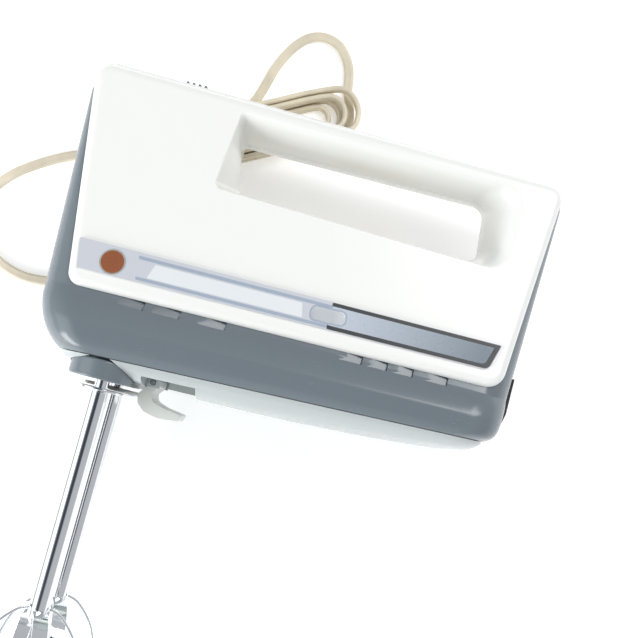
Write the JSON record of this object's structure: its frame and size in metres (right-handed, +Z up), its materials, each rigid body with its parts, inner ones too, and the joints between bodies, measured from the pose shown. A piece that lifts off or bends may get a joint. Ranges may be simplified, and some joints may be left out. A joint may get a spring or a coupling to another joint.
{
  "type": "electric hand mixer",
  "caption": "Hand-held electric mixer with a loop handle, a thumb speed slide, a beater ejector lever, removable wire-blade beaters and a mains cord.",
  "frame": {"origin": "on the surface the mixer lies on, under the middle of the mixer without its cord", "axes": "the mixer lies on its right side: +Z up is its left side, +X points to its heel, +Y from the beaters to the handle"},
  "size_m": [0.2575, 0.3468, 0.083],
  "materials": {
    "white_plastic": "glossy moulded thermoplastic",
    "grey_plastic": "glossy moulded thermoplastic",
    "pale_grey_plastic": "glossy moulded thermoplastic",
    "chrome": "polished chrome plate",
    "steel": "plain steel",
    "trim_foil": "satin printed foil",
    "black_rubber": "matt rubber",
    "copper": "enamelled copper wire and copper bars",
    "brass": "plain brass",
    "bronze": "oil-filled bearing bronze",
    "nylon": "moulded nylon",
    "cord_cream": "soft cord sheath and moulded plug",
    "switch_black": "phenolic moulding",
    "carbon": "pressed carbon"
  },
  "bodies": {
    "housing": {"bearing_front": "bronze", "bearing_middle": "bronze", "bearing_rear": "bronze", "bottom_pan": "pale_grey_plastic", "brush_holder_left": "brass", "brush_holder_right": "brass", "carbon_brush_left": "carbon", "carbon_brush_right": "carbon", "cord_hank": "cord_cream", "cord_lead": "cord_cream", "cord_loop": "cord_cream", "cord_tail": "cord_cream", "ejector_pin": "steel", "ejector_spring": "steel", "field_coil_lower": "copper", "field_coil_upper": "copper", "gear_frame": "steel", "heel_pad": "black_rubber", "label_strip": "trim_foil", "left_shell": "white_plastic", "motor_housing": "grey_plastic", "pan_screw_1": "steel", "pan_screw_2": "steel", "plug_blade_1": "brass", "plug_blade_2": "brass", "plug_body": "cord_cream", "rear_bracket": "steel", "right_shell": "white_plastic", "shell_screw_1": "steel", "shell_screw_2": "steel", "shell_screw_3": "steel", "shell_screw_4": "steel", "socket_boss": "grey_plastic", "speed_switch": "switch_black", "spindle_bush_left": "bronze", "spindle_bush_right": "bronze", "stator_core": "steel", "strain_relief": "cord_cream"},
    "speed_slide": {"speed_slide": "grey_plastic"},
    "ejector": {"ejector_lever": "white_plastic"},
    "armature": {"armature_shaft": "steel", "armature_core": "steel", "armature_winding_front": "copper", "armature_winding_rear": "copper", "commutator": "copper", "cooling_fan": "nylon"},
    "spindle_left": {"spindle_left": "steel", "worm_wheel_left": "nylon"},
    "beater_left": {"beater_shaft_left": "chrome", "beater_collar_left": "chrome", "beater_loop_a_left": "chrome", "beater_loop_b_left": "chrome"},
    "spindle_right": {"spindle_right": "steel", "worm_wheel_right": "nylon"},
    "beater_right": {"beater_shaft_right": "chrome", "beater_collar_right": "chrome", "beater_loop_a_right": "chrome", "beater_loop_b_right": "chrome"}
  },
  "joints": [
    {"name": "speed_slide", "type": "slide", "parent": "housing", "child": "speed_slide", "axis": [1, 0, 0], "range_m": [0, 0.014]},
    {"name": "ejector_press", "type": "hinge", "parent": "housing", "child": "ejector", "pos_m": [-0.04435, 0.0169, 0.0415], "axis": [0, 0, 1], "range_deg": [0, 12], "stiffness_Nm_per_rad": 0.25, "springref_deg": -5.73},
    {"name": "armature_spin", "type": "hinge", "parent": "housing", "child": "armature", "pos_m": [0.00315, 0.0485, 0.0415], "axis": [1, 0, 0], "continuous": true},
    {"name": "spindle_left_spin", "type": "hinge", "parent": "housing", "child": "spindle_left", "pos_m": [-0.06435, 0.0465, 0.0595], "axis": [0, 1, 0], "continuous": true},
    {"name": "spindle_right_spin", "type": "hinge", "parent": "housing", "child": "spindle_right", "pos_m": [-0.06435, 0.0465, 0.0235], "axis": [0, 1, 0], "continuous": true},
    {"name": "beater_left_eject", "type": "slide", "parent": "spindle_left", "child": "beater_left", "axis": [0, -1, 0], "range_m": [0, 0.0063]},
    {"name": "beater_right_eject", "type": "slide", "parent": "spindle_right", "child": "beater_right", "axis": [0, -1, 0], "range_m": [0, 0.0063]}
  ],
  "couplings": [
    {"joint": "spindle_left_spin", "follows": "armature_spin", "ratio": 0.045455},
    {"joint": "spindle_right_spin", "follows": "armature_spin", "ratio": -0.045455},
    {"joint": "ejector_press", "follows": "beater_left_eject", "rad_per_m": 33.24},
    {"joint": "beater_right_eject", "follows": "beater_left_eject", "ratio": 1}
  ]
}
